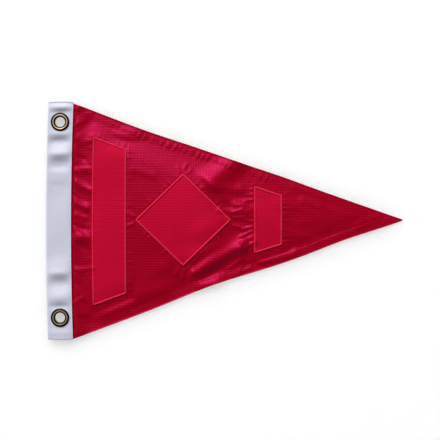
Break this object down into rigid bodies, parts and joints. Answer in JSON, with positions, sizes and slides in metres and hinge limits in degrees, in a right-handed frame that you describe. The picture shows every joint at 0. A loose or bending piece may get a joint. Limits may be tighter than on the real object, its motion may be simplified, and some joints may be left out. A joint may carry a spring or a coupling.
{
  "type": "pennant flag",
  "caption": "Triangular pennant flag of ripstop cloth lying face up, with turned hems, a folded tape heading with eyelets at its ends, and sewn-on bar and lozenge patches.",
  "frame": {"origin": "middle of the box's bottom face, on the surface that the flag lies on", "axes": "+X along the flag from the hoist to the tip, +Y up the hoist, +Z out of the front of the cloth"},
  "size_m": [0.4572, 0.3048, 0.0072],
  "materials": {
    "fly_cloth": "crimson ripstop nylon with a soft sheen",
    "patch_cloth": "scarlet ripstop nylon",
    "heading_tape": "white duck tape, matte",
    "eyelet_brass": "antique brass, polished"
  },
  "bodies": {
    "root": {"fly_cloth": "fly_cloth", "heading": "heading_tape", "hoist_bar": "patch_cloth", "lozenge": "patch_cloth", "fly_bar": "patch_cloth", "upper_eyelet": "eyelet_brass", "upper_washer": "eyelet_brass", "lower_eyelet": "eyelet_brass", "lower_washer": "eyelet_brass"}
  },
  "joints": []
}
